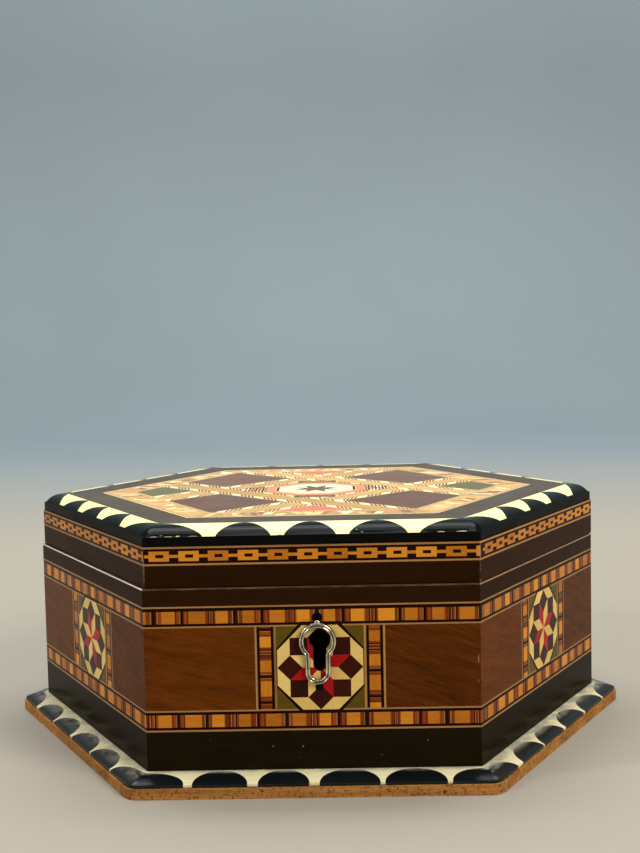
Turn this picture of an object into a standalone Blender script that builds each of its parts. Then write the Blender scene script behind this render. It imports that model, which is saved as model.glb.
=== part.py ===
"""A hexagonal marquetry box with a keyhole and a lid that lifts off.

Six mitred walls stand on a thin base board, with a rounded moulding at their foot.
The lid is six mitred rails, a flat panel and a rounded moulding round its edge.
Metres, +Z up, the origin under the middle of the base board, the front towards -Y.
"""

import math

import bmesh
import bpy
from mathutils import Matrix, Vector

# Clearances
JOINT = 0.0003            # between two pieces that touch: a glue line, or the seam under the lid

# The box: SIDE is the outside length of one of its six sides
SIDE = 0.100
WALL = 0.006
WALL_HEIGHT = 0.0578      # from the top of the base board to the rim

# The base
BOARD_THICK = 0.0032
BASE_REVEAL = 0.0085      # how far the board stands out past the walls
BASE_CORNER = 0.005       # radius of the board's worn corners
BASE_MOULD_INSET = 0.0006  # from the board's edge in to the moulding's
BASE_MOULD_HEIGHT = 0.0026
BASE_MOULD_EDGE = 0.0010  # its thickness at the outer edge, glue line included
BASE_CROWN = 2            # power of the moulding's curve: higher has a squarer shoulder

# The lid
LID_RAIL_HEIGHT = 0.0122
LID_PANEL_THICK = 0.0055
LID_PANEL_BEARING = 0.0023  # how far the rails reach in under the panel
LID_MOULD_WIDTH = 0.0074
LID_MOULD_RISE = 0.0029   # from the moulding's outer arris up to the flat top
LID_CROWN = 3
LID_RIGHT = 0.0004        # the lid lies a little off centre, as it was put down
LID_BACK = 0.0012

# The keyhole, measured from the middle of its round head
KEYHOLE_BELOW_RIM = 0.0163
KEYHOLE_RIGHT = 0.0023
KEYHOLE_HEAD = 0.0032     # radius
KEYHOLE_STEM = 0.0040     # width
KEYHOLE_DROP = 0.0092

# The metal rim round the keyhole, and how much wood shows inside it
ESCUTCHEON_RIM = 0.0015
ESCUTCHEON_THICK = 0.0012
ESCUTCHEON_SOFTENING = 0.00035
ESCUTCHEON_LEFT = 0.0006  # how far it sits left of the keyhole's middle
SHOWS_AT_HEAD = 0.0009
SHOWS_AT_STEM = 0.0003
SHOWS_AT_FOOT = 0.0023

# The empty nail hole above that rim
NAIL_HOLE_RADIUS = 0.0012
NAIL_HOLE_DEPTH = 0.0015
NAIL_HOLE_CLEAR = 0.0002  # from the metal rim to the hole's edge

# How finely round things are cut
CROWN_STEPS = 7
ARC_STEPS = 14
CORNER_SEGMENTS = 5

# Worked out from the sizes above
SIDE_NAMES = ("front", "front_right", "back_right", "back", "back_left", "front_left")
SIDE_ANGLE = 2 * math.pi / len(SIDE_NAMES)
APOTHEM = SIDE * math.cos(SIDE_ANGLE / 2)
BASE_APOTHEM = APOTHEM + BASE_REVEAL
BASE_MOULD_APOTHEM = BASE_APOTHEM - BASE_MOULD_INSET
BOARD_TOP = BOARD_THICK
RIM = BOARD_TOP + WALL_HEIGHT
LID_BOTTOM = RIM + JOINT
RAIL_TOP = LID_BOTTOM + LID_RAIL_HEIGHT
LID_TOP = RAIL_TOP + JOINT + LID_PANEL_THICK
PANEL_APOTHEM = APOTHEM - LID_MOULD_WIDTH - JOINT
RAIL_INNER_APOTHEM = PANEL_APOTHEM - LID_PANEL_BEARING
KEYHOLE_Z = RIM - KEYHOLE_BELOW_RIM
ESCUTCHEON_HEAD = KEYHOLE_HEAD + SHOWS_AT_HEAD + ESCUTCHEON_RIM
ESCUTCHEON_MIDDLE = KEYHOLE_RIGHT - ESCUTCHEON_LEFT


def clear_scene():
    for obj in list(bpy.data.objects):
        bpy.data.objects.remove(obj, do_unlink=True)


def new_collection(name):
    collection = bpy.data.collections.new(name)
    bpy.context.scene.collection.children.link(collection)
    return collection


def new_material(name, colour, roughness, metallic=0.0):
    material = bpy.data.materials.new(name)
    material.use_nodes = True
    shader = material.node_tree.nodes["Principled BSDF"]
    shader.inputs["Base Color"].default_value = (*colour, 1.0)
    shader.inputs["Roughness"].default_value = roughness
    shader.inputs["Metallic"].default_value = metallic
    material.diffuse_color = (*colour, 1.0)
    return material


clear_scene()
PARTS = new_collection("hexagonal_box")
CUTTERS = new_collection("hexagonal_box_cutters")

RAW_WOOD = new_material("raw_wood", (0.30, 0.15, 0.06), 0.7)
WALNUT = new_material("varnished_walnut", (0.12, 0.045, 0.018), 0.25)
INLAID_TOP = new_material("inlaid_top", (0.34, 0.20, 0.11), 0.25)
EBONISED = new_material("ebonised_wood", (0.012, 0.013, 0.014), 0.2)
NICKEL = new_material("nickel", (0.62, 0.58, 0.46), 0.25, 1.0)


def mesh_from(bm, name):
    bmesh.ops.recalc_face_normals(bm, faces=bm.faces)
    mesh = bpy.data.meshes.new(name)
    bm.to_mesh(mesh)
    bm.free()
    return mesh


def add_part(name, mesh, material, turn=0.0):
    """One piece of the box, turned about the middle of the box."""
    obj = bpy.data.objects.new(name, mesh)
    if material.name not in mesh.materials:
        mesh.materials.append(material)
    obj.rotation_euler.z = turn
    PARTS.objects.link(obj)
    return obj


def add_cutter(name, mesh):
    obj = bpy.data.objects.new(name, mesh)
    obj.hide_render = True
    obj.display_type = "WIRE"
    CUTTERS.objects.link(obj)
    return obj


def combine(obj, operation, other):
    modifier = obj.modifiers.new(other.name, "BOOLEAN")
    modifier.operation = operation
    modifier.object = other
    modifier.solver = "EXACT"


def rod_mesh(name, radius, length, middle):
    """A cylinder lying along Y."""
    bm = bmesh.new()
    bmesh.ops.create_cone(
        bm, cap_ends=True, segments=ARC_STEPS, radius1=radius, radius2=radius, depth=length
    )
    bmesh.ops.rotate(bm, cent=(0, 0, 0), matrix=Matrix.Rotation(math.pi / 2, 3, "X"), verts=bm.verts)
    bmesh.ops.translate(bm, vec=middle, verts=bm.verts)
    return mesh_from(bm, name)


def hexagon_mesh(name, apothem, bottom, top, corner_radius=0.0):
    """A hexagonal board with two corners on the X axis."""
    radius = apothem / math.cos(SIDE_ANGLE / 2)
    bm = bmesh.new()
    bmesh.ops.create_cone(
        bm, cap_ends=True, segments=len(SIDE_NAMES), radius1=radius, radius2=radius,
        depth=top - bottom,
    )
    corner = max(bm.verts, key=lambda vert: vert.co.x)
    turn = Matrix.Rotation(-math.atan2(corner.co.y, corner.co.x), 3, "Z")
    bmesh.ops.rotate(bm, cent=(0, 0, 0), matrix=turn, verts=bm.verts)
    bmesh.ops.translate(bm, vec=(0, 0, (bottom + top) / 2), verts=bm.verts)
    if corner_radius:
        upright = [e for e in bm.edges if abs(e.verts[0].co.z - e.verts[1].co.z) > (top - bottom) / 2]
        bmesh.ops.bevel(
            bm, geom=upright, offset=corner_radius * math.tan(SIDE_ANGLE / 2), offset_type="OFFSET",
            segments=CORNER_SEGMENTS, profile=0.5, affect="EDGES",
        )
    return mesh_from(bm, name)


def strip_mesh(name, profile):
    """The front one of six strips: a (distance from the middle, height) profile, mitred at both ends."""
    reach = max(distance for distance, _ in profile)
    bm = bmesh.new()
    face = bm.faces.new([bm.verts.new((-reach, -distance, height)) for distance, height in profile])
    pushed = bmesh.ops.extrude_face_region(bm, geom=[face])["geom"]
    moved = [item for item in pushed if isinstance(item, bmesh.types.BMVert)]
    bmesh.ops.translate(bm, vec=(2 * reach, 0, 0), verts=moved)
    for end in (-1, 1):
        outward = Vector((end * math.cos(SIDE_ANGLE / 2), math.sin(SIDE_ANGLE / 2), 0))
        cut = bmesh.ops.bisect_plane(
            bm, geom=bm.verts[:] + bm.edges[:] + bm.faces[:], dist=1e-7,
            plane_co=-outward * JOINT / 2, plane_no=outward, clear_outer=True,
        )
        rim = [item for item in cut["geom_cut"] if isinstance(item, bmesh.types.BMEdge)]
        bmesh.ops.holes_fill(bm, edges=rim, sides=len(profile))
    return mesh_from(bm, name)


def block_profile(inner, outer, bottom, top):
    return [(inner, bottom), (outer, bottom), (outer, top), (inner, top)]


def crowned_profile(inner, outer, bottom, arris, top, power):
    """A strip whose top falls away from its inner edge, slowly and then faster, to its outer arris."""
    crown = []
    for step in range(CROWN_STEPS):
        out = 1 - step / CROWN_STEPS
        crown.append((inner + (outer - inner) * out, arris + (top - arris) * (1 - out**power)))
    return [(inner, bottom), (outer, bottom), *crown, (inner, top)]


def keyhole_mesh(name, head, stem, drop, middle, front, depth):
    """A round head over a stem with a round foot, pushed back from y = front. middle is its middle's x."""
    half = stem / 2
    shoulder = math.asin(half / head)
    points = []
    for step in range(2 * ARC_STEPS + 1):
        angle = -math.pi / 2 + shoulder + (math.pi - shoulder) * step / ARC_STEPS
        points.append((head * math.cos(angle), head * math.sin(angle)))
    for step in range(ARC_STEPS + 1):
        angle = math.pi * (1 + step / ARC_STEPS)
        points.append((half * math.cos(angle), half - drop + half * math.sin(angle)))
    bm = bmesh.new()
    face = bm.faces.new([bm.verts.new((middle + x, front, KEYHOLE_Z + z)) for x, z in points])
    pushed = bmesh.ops.extrude_face_region(bm, geom=[face])["geom"]
    moved = [item for item in pushed if isinstance(item, bmesh.types.BMVert)]
    bmesh.ops.translate(bm, vec=(0, depth, 0), verts=moved)
    return mesh_from(bm, name)


def make_base():
    board = hexagon_mesh("base_board", BASE_APOTHEM, 0.0, BOARD_TOP, BASE_CORNER)
    add_part("base_board", board, RAW_WOOD)
    moulding = strip_mesh("base_moulding", crowned_profile(
        APOTHEM + JOINT, BASE_MOULD_APOTHEM, BOARD_TOP + JOINT, BOARD_TOP + BASE_MOULD_EDGE,
        BOARD_TOP + BASE_MOULD_HEIGHT, BASE_CROWN,
    ))
    rounding = add_cutter("base_corner_rounding", hexagon_mesh(
        "base_corner_rounding", BASE_MOULD_APOTHEM + JOINT / 6, -BOARD_TOP,
        BOARD_TOP + 2 * BASE_MOULD_HEIGHT, BASE_CORNER,
    ))
    for index, side in enumerate(SIDE_NAMES):
        strip = add_part(f"base_moulding_{side}", moulding.copy(), EBONISED, index * SIDE_ANGLE)
        combine(strip, "INTERSECT", rounding)


def make_walls():
    wall = strip_mesh("wall", block_profile(APOTHEM - WALL, APOTHEM, BOARD_TOP + JOINT, RIM))
    return {
        side: add_part(f"wall_{side}", wall.copy(), WALNUT, index * SIDE_ANGLE)
        for index, side in enumerate(SIDE_NAMES)
    }


def make_lid():
    """The lid's pieces, on an empty that lifts them off together."""
    lid = bpy.data.objects.new("lid", None)
    lid.location = (LID_RIGHT, LID_BACK, 0)
    lid.empty_display_size = SIDE / 10
    PARTS.objects.link(lid)
    rail = strip_mesh("lid_rail", block_profile(RAIL_INNER_APOTHEM, APOTHEM, LID_BOTTOM, RAIL_TOP))
    moulding = strip_mesh("lid_moulding", crowned_profile(
        APOTHEM - LID_MOULD_WIDTH, APOTHEM, RAIL_TOP + JOINT, LID_TOP - LID_MOULD_RISE, LID_TOP, LID_CROWN,
    ))
    panel = hexagon_mesh("lid_panel", PANEL_APOTHEM, RAIL_TOP + JOINT, LID_TOP)
    pieces = [add_part("lid_panel", panel, INLAID_TOP)]
    for index, side in enumerate(SIDE_NAMES):
        turn = index * SIDE_ANGLE
        pieces.append(add_part(f"lid_rail_{side}", rail.copy(), WALNUT, turn))
        pieces.append(add_part(f"lid_moulding_{side}", moulding.copy(), EBONISED, turn))
    for piece in pieces:
        piece.parent = lid


def make_keyhole(wall):
    """The keyhole through the front wall, and the empty nail hole above it."""
    combine(wall, "DIFFERENCE", add_cutter("keyhole_cut", keyhole_mesh(
        "keyhole_cut", KEYHOLE_HEAD, KEYHOLE_STEM, KEYHOLE_DROP, KEYHOLE_RIGHT, -APOTHEM - WALL, 3 * WALL,
    )))
    height = KEYHOLE_Z + ESCUTCHEON_HEAD + NAIL_HOLE_CLEAR + NAIL_HOLE_RADIUS
    combine(wall, "DIFFERENCE", add_cutter("nail_hole_cut", rod_mesh(
        "nail_hole_cut", NAIL_HOLE_RADIUS, 2 * NAIL_HOLE_DEPTH, (ESCUTCHEON_MIDDLE, -APOTHEM, height),
    )))


def make_escutcheon():
    """The metal rim that frames the keyhole, with a little of the wood showing inside it."""
    stem = KEYHOLE_STEM + 2 * SHOWS_AT_STEM
    drop = KEYHOLE_DROP + SHOWS_AT_FOOT
    back = -APOTHEM - JOINT
    rim = add_part("escutcheon", keyhole_mesh(
        "escutcheon", ESCUTCHEON_HEAD, stem + 2 * ESCUTCHEON_RIM, drop + ESCUTCHEON_RIM,
        ESCUTCHEON_MIDDLE, back, -ESCUTCHEON_THICK,
    ), NICKEL)
    combine(rim, "DIFFERENCE", add_cutter("escutcheon_cut", keyhole_mesh(
        "escutcheon_cut", ESCUTCHEON_HEAD - ESCUTCHEON_RIM, stem, drop,
        ESCUTCHEON_MIDDLE, back + ESCUTCHEON_THICK, -3 * ESCUTCHEON_THICK,
    )))
    softened = rim.modifiers.new("softened", "BEVEL")
    softened.width = ESCUTCHEON_SOFTENING
    softened.segments = 2
    softened.limit_method = "ANGLE"
    softened.angle_limit = math.radians(60)
    rim.data.shade_smooth()


make_base()
walls = make_walls()
make_keyhole(walls["front"])
make_escutcheon()
make_lid()
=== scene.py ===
# %% [markdown]
# # A hexagonal marquetry box
#
# The box is plain boards covered with thin pictures made of wood. This script starts from the
# measured parts, covers them with those pictures, gives every wood its varnish, and sets the
# box on a pale floor under soft light.

# %%
# Bring in the measured parts
import math
import random
from collections import namedtuple

import bmesh
import bpy
import numpy as np
from mathutils import Matrix, Vector
from mathutils.geometry import delaunay_2d_cdt


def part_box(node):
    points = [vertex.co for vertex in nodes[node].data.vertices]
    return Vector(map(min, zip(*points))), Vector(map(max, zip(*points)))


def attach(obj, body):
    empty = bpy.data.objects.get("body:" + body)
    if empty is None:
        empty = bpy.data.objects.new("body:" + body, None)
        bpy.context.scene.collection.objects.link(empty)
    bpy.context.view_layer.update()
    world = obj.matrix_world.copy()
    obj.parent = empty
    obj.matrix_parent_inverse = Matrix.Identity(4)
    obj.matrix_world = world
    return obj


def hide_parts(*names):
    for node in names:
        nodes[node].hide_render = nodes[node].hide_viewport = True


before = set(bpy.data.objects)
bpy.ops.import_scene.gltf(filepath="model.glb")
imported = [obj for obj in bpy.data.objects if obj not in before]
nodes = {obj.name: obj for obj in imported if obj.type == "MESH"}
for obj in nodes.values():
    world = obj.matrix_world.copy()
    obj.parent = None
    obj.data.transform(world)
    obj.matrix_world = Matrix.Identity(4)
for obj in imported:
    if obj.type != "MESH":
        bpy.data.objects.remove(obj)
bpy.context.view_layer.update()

# %% [markdown]
# ## Measurements
#
# The patterns are drawn in millimetres, as a marquetry maker would rule them, and turned into
# metres only when they become meshes. The outlines could be typed in too, but then the pictures
# and the boards would soon drift apart, so they are read from the measured parts.

# %%
# Measurements of the box, in millimetres
MM = 0.001
SIDES = ("front", "front_right", "back_right", "back", "back_left", "front_left")
TURN = 2 * math.pi / len(SIDES)
HALF = TURN / 2


def span(node, axis):
    """Lowest and highest place of a measured part along one axis, in millimetres."""
    low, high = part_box(node)
    return low[axis] / MM, high[axis] / MM


WALL_OUT = -span("wall_front", 1)[0]
WALL_LOW, WALL_TOP = span("wall_front", 2)
RAIL_LOW, RAIL_TOP = span("lid_rail_front", 2)
LID_LOW, LID_TOP = span("lid_moulding_front", 2)
FOOT_LOW, FOOT_TOP = span("base_moulding_front", 2)
FOOT_OUT = -span("base_moulding_front", 1)[0]
panel_low, panel_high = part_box("lid_panel")
LID_SHIFT = (panel_low + panel_high) / 2 / MM
PANEL_OUT = (panel_high.y - panel_low.y) / 2 / MM
LID_OUT = LID_SHIFT.y - span("lid_moulding_front", 1)[0]

VENEER = 0.2
SIDE_OUT = WALL_OUT + VENEER
EDGE = SIDE_OUT * math.tan(HALF)
print("walls", round(WALL_OUT, 2), "lid", round(LID_OUT, 2), "foot", round(FOOT_OUT, 2))
print("half a side", round(EDGE, 2))

# %% [markdown]
# ## Finishes
#
# A material is a small network of nodes. Two helpers keep the recipes short. `Wire` is one output
# of a node, and ordinary sums with it lay down Math nodes. `Finish` holds one material and makes
# every other node. Numbers alone would give one flat colour, so each recipe runs noise through
# the wood's own grain direction, which every tile carries in its `grain` map.


# %%
# A node's output that can be used in sums
class Wire:
    def __init__(self, finish, socket):
        self.finish = finish
        self.socket = socket

    def math(self, operation, *others, clamp=False):
        values = dict(enumerate((self, *others)))
        return self.finish.node("Math", {"operation": operation, "use_clamp": clamp}, values)

    def __add__(self, other):
        return self.math("ADD", other)

    def __sub__(self, other):
        return self.math("SUBTRACT", other)

    def __mul__(self, other):
        return self.math("MULTIPLY", other)

    def __truediv__(self, other):
        return self.math("DIVIDE", other)

    def __rsub__(self, other):
        return (self * -1) + other

    __radd__ = __add__
    __rmul__ = __mul__

    def clamped(self):
        return self.math("ADD", 0, clamp=True)

    def between(self, low, high):
        """0 below low and 1 above high, with a straight ramp from one to the other."""
        return ((self - low) / (high - low)).clamped()


# %%
# One material, and one way to add any node to it
class Finish:
    def __init__(self, name):
        self.material = bpy.data.materials.new(name)
        self.material.use_nodes = True
        self.tree = self.material.node_tree
        self.shader = self.tree.nodes["Principled BSDF"]

    def fill(self, node, values):
        for key, value in values.items():
            if isinstance(value, Wire):
                self.tree.links.new(value.socket, node.inputs[key])
            else:
                node.inputs[key].default_value = value

    def node(self, kind, settings=None, values=None, output=0):
        made = self.tree.nodes.new("ShaderNode" + kind)
        for key, value in (settings or {}).items():
            setattr(made, key, value)
        self.fill(made, values or {})
        return Wire(self, made.outputs[output])

    def surface(self, **values):
        self.fill(self.shader, {key.replace("_", " "): value for key, value in values.items()})

    def scaled(self, vector, *factors):
        return self.node("VectorMath", {"operation": "MULTIPLY"}, {0: vector, 1: factors})

    def noise(self, vector, scale, detail=3.0, rough=0.55):
        values = {"Vector": vector, "Scale": scale, "Detail": detail, "Roughness": rough}
        return self.node("TexNoise", {}, values)

    def mix(self, share, first, second):
        values = {0: share, 6: first, 7: second}
        return self.node("Mix", {"data_type": "RGBA"}, values, output=2)

    def place(self):
        return self.node("TexCoord", output=3)

    def attribute(self, name):
        return self.node("Attribute", {"attribute_name": name}, output=2)


def colour(red, green, blue):
    """A colour as seen on a screen, 0 to 255, as the linear light that shaders work in."""
    def linear(value):
        value /= 255
        return value / 12.92 if value <= 0.04045 else ((value + 0.055) / 1.055) ** 2.4
    return (linear(red), linear(green), linear(blue), 1.0)


print("finish helpers ready")

# %% [markdown]
# ## Varnished woods
#
# Up close, varnished wood has three layers that the eye reads apart: long fibres that run with
# the grain, broad streaks of heartwood, and a varnish whose shine is broken by fingermarks.
# An image of wood would repeat and blur, so each is noise instead, stretched along the grain.
# `tone` is a number that every tile keeps to itself, so that two tiles cut from one plank still
# differ. `wear` marks the rounded corners, where the varnish has rubbed through to pale bare
# wood in specks. A third number says how thickly dust lies where no cloth reaches; on the
# front-left side of the foot the same grey film is also a painted sheen on the black lobes.


# %%
# The recipe shared by all the woods
# The grey film colour is dust, and on the foot's front-left side also a painted sheen.
WORN, DUST_AND_SHEEN = (206, 176, 138), (162, 154, 136)
STREAKS, FLECKS, FIBRES = (0.035, 0.3, 1), (0.13, 1.1, 1), (0.3, 7.0, 1)
SMEAR_SCALE, SPECK_SCALE, DUST_AND_SHEEN_SCALE = 38.0, 260.0, 210.0
FILM = 1.8


def wood(name, pale, dark, streak=0.45, fibre=0.3, shine=0.15, gloss=0.06, contrast=0.5, smears=0.12):
    """Wood between two colours. shine is the least roughness, gloss how strongly it mirrors."""
    finish = Finish(name)
    grain = finish.node("UVMap", {"uv_map": "grain"})
    tone, wear, dust_and_sheen = [finish.attribute(kept) for kept in ("tone", "wear", "dust_and_sheen")]
    broad = finish.noise(finish.scaled(grain, *STREAKS), 1.0, 4.0)
    flecks = finish.noise(finish.scaled(grain, *FLECKS), 1.0, 3.0, 0.6)
    fine = finish.noise(finish.scaled(grain, *FIBRES), 1.0, 5.0, 0.7)
    figure = broad.between(0.3, 0.7) * 0.5 + flecks.between(0.3, 0.7) * 0.5
    share = figure * streak + fine.between(0.25, 0.75) * fibre + (tone - 0.5) * contrast
    here = finish.place()
    smear = finish.noise(finish.scaled(here, 1, 1, 1.8), SMEAR_SCALE, 3.0, 0.6).between(0.42, 0.68)
    speck = finish.noise(here, SPECK_SCALE, 4.0, 0.7).between(0.42, 0.62) * wear
    # The film is dust, and on the foot's front-left side it also paints a grey sheen.
    film = (finish.noise(here, DUST_AND_SHEEN_SCALE, 5.0, 0.7).between(0.3, 0.75) * dust_and_sheen * FILM).clamped()
    varnished = finish.mix(share.clamped(), colour(*pale), colour(*dark))
    rubbed = finish.mix(speck, varnished, colour(*WORN))
    finish.surface(
        Base_Color=finish.mix(film, rubbed, colour(*DUST_AND_SHEEN)),
        Roughness=smear * smears + speck * 0.3 + film * 0.5 + shine,
        Specular_IOR_Level=gloss,
        Coat_Weight=0.03,
        Coat_Roughness=0.06,
        Normal=finish.node("Bump", {}, {"Strength": 0.1, "Distance": 0.0002, "Height": fine}),
    )
    return finish.material


WALNUT = wood("walnut", (122, 62, 12), (56, 25, 4), streak=0.65, fibre=0.35, gloss=0.025, contrast=0.9)
EBONY = wood("dark_veneer", (51, 27, 8), (27, 12, 4), streak=0.5, gloss=0.012)
BOG = wood("green_black_veneer", (33, 24, 7), (14, 9, 2), streak=0.5, gloss=0.02)
INK = wood("black_dyed_wood", (34, 13, 5), (12, 4, 2), gloss=0.03)
LINE = wood("pale_stringing", (184, 134, 76), (124, 82, 42), contrast=0.7)
ORANGE = wood("orange_wood", (224, 142, 40), (158, 84, 16), contrast=0.8)
RUST = wood("rust_wood", (146, 74, 20), (92, 38, 8), contrast=0.9)
MAROON = wood("maroon_wood", (64, 18, 8), (36, 9, 4))
TAN = wood("tan_wood", (176, 118, 62), (120, 72, 34), contrast=0.7)
RED = wood("red_dyed_wood", (184, 24, 20), (132, 13, 11))
BRICK = wood("brick_wood", (126, 36, 14), (84, 18, 8), contrast=0.8)
CREAM = wood("cream_wood", (242, 208, 122), (206, 160, 76), contrast=0.6)
OLIVE = wood("olive_dyed_wood", (106, 84, 22), (66, 50, 10))
# Rim strips: a worn edge with a painted highlight; the near-white one paints the strongest highlight.
EDGE_WEAR_AND_HIGHLIGHT = wood("worn_edge_painted_highlight", (180, 142, 110), (56, 34, 20), streak=0.8, contrast=1.2)
EDGE_WEAR_AND_STRONG_HIGHLIGHT = wood("worn_edge_strong_painted_highlight", (250, 246, 238), (206, 198, 184), shine=0.3)
PITCH = wood("burnt_stain", (16, 10, 8), (6, 3, 2), shine=0.5, gloss=0.02)
print("woods:", sum(1 for material in bpy.data.materials if material.use_nodes))

# %%
# Woods of the lid's picture and of the two mouldings
POLISHED = {"shine": 0.22, "gloss": 0.14}
SLATE = wood("grey_brown_wood", (76, 59, 35), (50, 38, 22), shine=0.24, gloss=0.14)
MAUVE = wood("mauve_wood", (128, 85, 60), (90, 57, 38), streak=0.7, **POLISHED)
SAGE = wood("grey_green_wood", (112, 102, 54), (80, 72, 36), streak=0.6, **POLISHED)
SALMON = wood("salmon_dyed_wood", (252, 134, 98), (232, 100, 72), **POLISHED)
CORAL = wood("coral_dyed_wood", (234, 156, 110), (208, 124, 80), **POLISHED)
STRAW = wood("straw_wood", (252, 222, 152), (230, 182, 104), contrast=0.7, **POLISHED)
GOLD = wood("golden_wood", (228, 182, 110), (184, 136, 72), streak=0.7, contrast=0.6, **POLISHED)
HOLLY = wood("holly", (238, 238, 192), (222, 218, 158), **POLISHED)
GREEN = wood("green_dyed_wood", (62, 104, 54), (38, 70, 32))
IVORY = wood(
    "ivory_lacquer", (255, 248, 178), (240, 222, 138), streak=0.3, fibre=0.12, shine=0.1, contrast=0.3,
)
AGED = wood("aged_ivory", (240, 230, 184), (204, 188, 138), streak=0.6, shine=0.2, contrast=0.4)
JET = wood("black_lacquer", (15, 21, 20), (4, 7, 6), fibre=0.1, shine=0.07, contrast=0.3, smears=0.05)
LACQUER = wood(
    "thick_black_lacquer", (16, 22, 24), (5, 8, 9), fibre=0.1, shine=0.12, gloss=0.3, contrast=0.3,
)
SOOT = wood("black_edge", (11, 12, 11), (4, 5, 5), shine=0.35, gloss=0.03)
CHIP = wood("chipped_lacquer", (214, 200, 150), (92, 72, 44), streak=1.0)
PLAIN = wood("bare_wood", (196, 124, 66), (138, 78, 34), shine=0.5, gloss=0.2)
print("finishes in all:", len(bpy.data.materials))

# %% [markdown]
# ## Laying marquetry
#
# A marquetry maker glues rods of coloured wood into a log and saws thin slices off its end, so
# a whole pattern arrives as one flat sheet with every piece touching the next. Loose raised tiles
# would be the easy way to model that and would be wrong: real marquetry is sanded flush.
#
# So each picture is drawn like a painting, later shapes over earlier ones, and then cut once.
# A constrained triangulation splits the plane along every outline, and each scrap goes to the
# last shape that covers its middle. The result is a single sheet without gaps or overlaps.

# %%
# Shapes, and how they are moved
Tile = namedtuple("Tile", "outline finish grain tone")
chance = random.Random(17)
SPLASH_POINTS = 11


def tile(outline, finish, grain=0.0, tone=None):
    """A flat shape. grain is the direction of its fibres in degrees, tone its place from pale to dark."""
    tone = chance.random() if tone is None else tone
    return Tile([Vector(point) for point in outline], finish, math.radians(grain), tone)


def slab(left, right, low, high, finish, grain=0.0, tone=None):
    return tile([(left, low), (right, low), (right, high), (left, high)], finish, grain, tone)


def splash(x, y, wide, high, finish):
    """A ragged spot, such as a chip or a stain."""
    outline = []
    for step in range(SPLASH_POINTS):
        reach = chance.uniform(0.6, 1.0)
        angle = 2 * math.pi * step / SPLASH_POINTS
        outline.append((x + wide * reach * math.cos(angle), y + high * reach * math.sin(angle)))
    return tile(outline, finish)


def middle_of(points):
    return sum(points, Vector((0, 0))) / len(points)


def turned(points, index):
    """Points drawn for the front, turned to another of the six sides."""
    spin = Matrix.Rotation(index * TURN, 2)
    return [spin @ Vector(point) for point in points]


print("shape helpers ready")


# %%
# The cut that turns the shapes into one sheet
TOUCHING = 1e-4
DRIFT = 90


def topmost(tiles, spots):
    """For every spot, the number of the last tile that covers it, or -1."""
    x, y = np.array(spots).T
    owner = np.full(len(spots), -1)
    for number, item in enumerate(tiles):
        outline = np.array(item.outline)
        (left, low), (right, high) = outline.min(0), outline.max(0)
        near = np.flatnonzero((x >= left) & (x <= right) & (y >= low) & (y <= high))
        within = np.zeros(len(near), bool)
        for (ax, ay), (bx, by) in zip(outline, np.roll(outline, -1, 0)):
            if ay == by:
                continue
            crossing = ax + (y[near] - ay) * (bx - ax) / (by - ay)
            within ^= ((ay > y[near]) != (by > y[near])) & (x[near] < crossing)
        owner[near[within]] = number
    return owner


def lay(bm, tiles, place, finishes, creases=(), flat_sheet=True):
    """Cuts the tiles as one sheet and adds it to bm, with place taking (x, y) to a point in space."""
    grain_map = bm.loops.layers.uv.get("grain") or bm.loops.layers.uv.new("grain")
    tone_of = bm.faces.layers.float.get("tone") or bm.faces.layers.float.new("tone")
    points, lines = [], []
    for line in [*([*item.outline, item.outline[0]] for item in tiles), *creases]:
        start = len(points)
        points += [Vector(point) for point in line]
        lines += [(index, index + 1) for index in range(start, len(points) - 1)]
    flat, _, cells, *_ = delaunay_2d_cdt(points, lines, [], 0, TOUCHING)
    owners = topmost(tiles, [middle_of([flat[index] for index in cell]) for cell in cells])
    drifts = [(chance.uniform(-DRIFT, DRIFT), chance.uniform(-DRIFT, DRIFT)) for _ in tiles]
    made = {}
    faces = []
    for cell, number in zip(cells, owners):
        if number < 0 or tiles[number].finish is None:
            continue
        item = tiles[number]
        for index in cell:
            if index not in made:
                made[index] = bm.verts.new(place(*flat[index]))
        face = bm.faces.new([made[index] for index in cell])
        if item.finish not in finishes:
            finishes.append(item.finish)
        face.material_index = finishes.index(item.finish)
        face[tone_of] = item.tone
        along = Vector((math.cos(item.grain), math.sin(item.grain)))
        right, up = drifts[number]
        for loop, index in zip(face.loops, cell):
            loop[grain_map].uv = (flat[index].dot(along) + right, flat[index].cross(along) + up)
        faces.append(face)
    if flat_sheet:
        inner = {edge for face in faces for edge in face.edges if len(edge.link_faces) == 2}
        bmesh.ops.dissolve_limit(
            bm, angle_limit=0.01, use_dissolve_boundaries=False, verts=[], edges=list(inner),
            delimit={"UV", "MATERIAL"},
        )


print("drift of the grain from tile to tile: up to", DRIFT, "mm")


# %%
# From a mesh to a piece of the box
def shown(bm, name, finishes, stands_for=()):
    """Makes the piece from its mesh and hangs it on the box."""
    mesh = bpy.data.meshes.new(name)
    bm.to_mesh(mesh)
    bm.free()
    for material in finishes:
        mesh.materials.append(material)
    piece = bpy.data.objects.new(name, mesh)
    bpy.context.scene.collection.objects.link(piece)
    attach(piece, "root")
    if stands_for:
        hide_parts(*stands_for)
    print(name, len(mesh.polygons), "faces,", len(finishes), "finishes")
    return piece


# %% [markdown]
# ## Bands of blocks and stripes
#
# The commonest Granada border is a row of bright blocks with a bundle of thin sheets between
# each two. The maker glues the bundle once and cuts it into many strips, so the same few
# bundles come round again. Here the row is dealt out from a short list of bundles, each a list of
# woods and thicknesses, and the rest is left to the varying tones.

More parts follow.
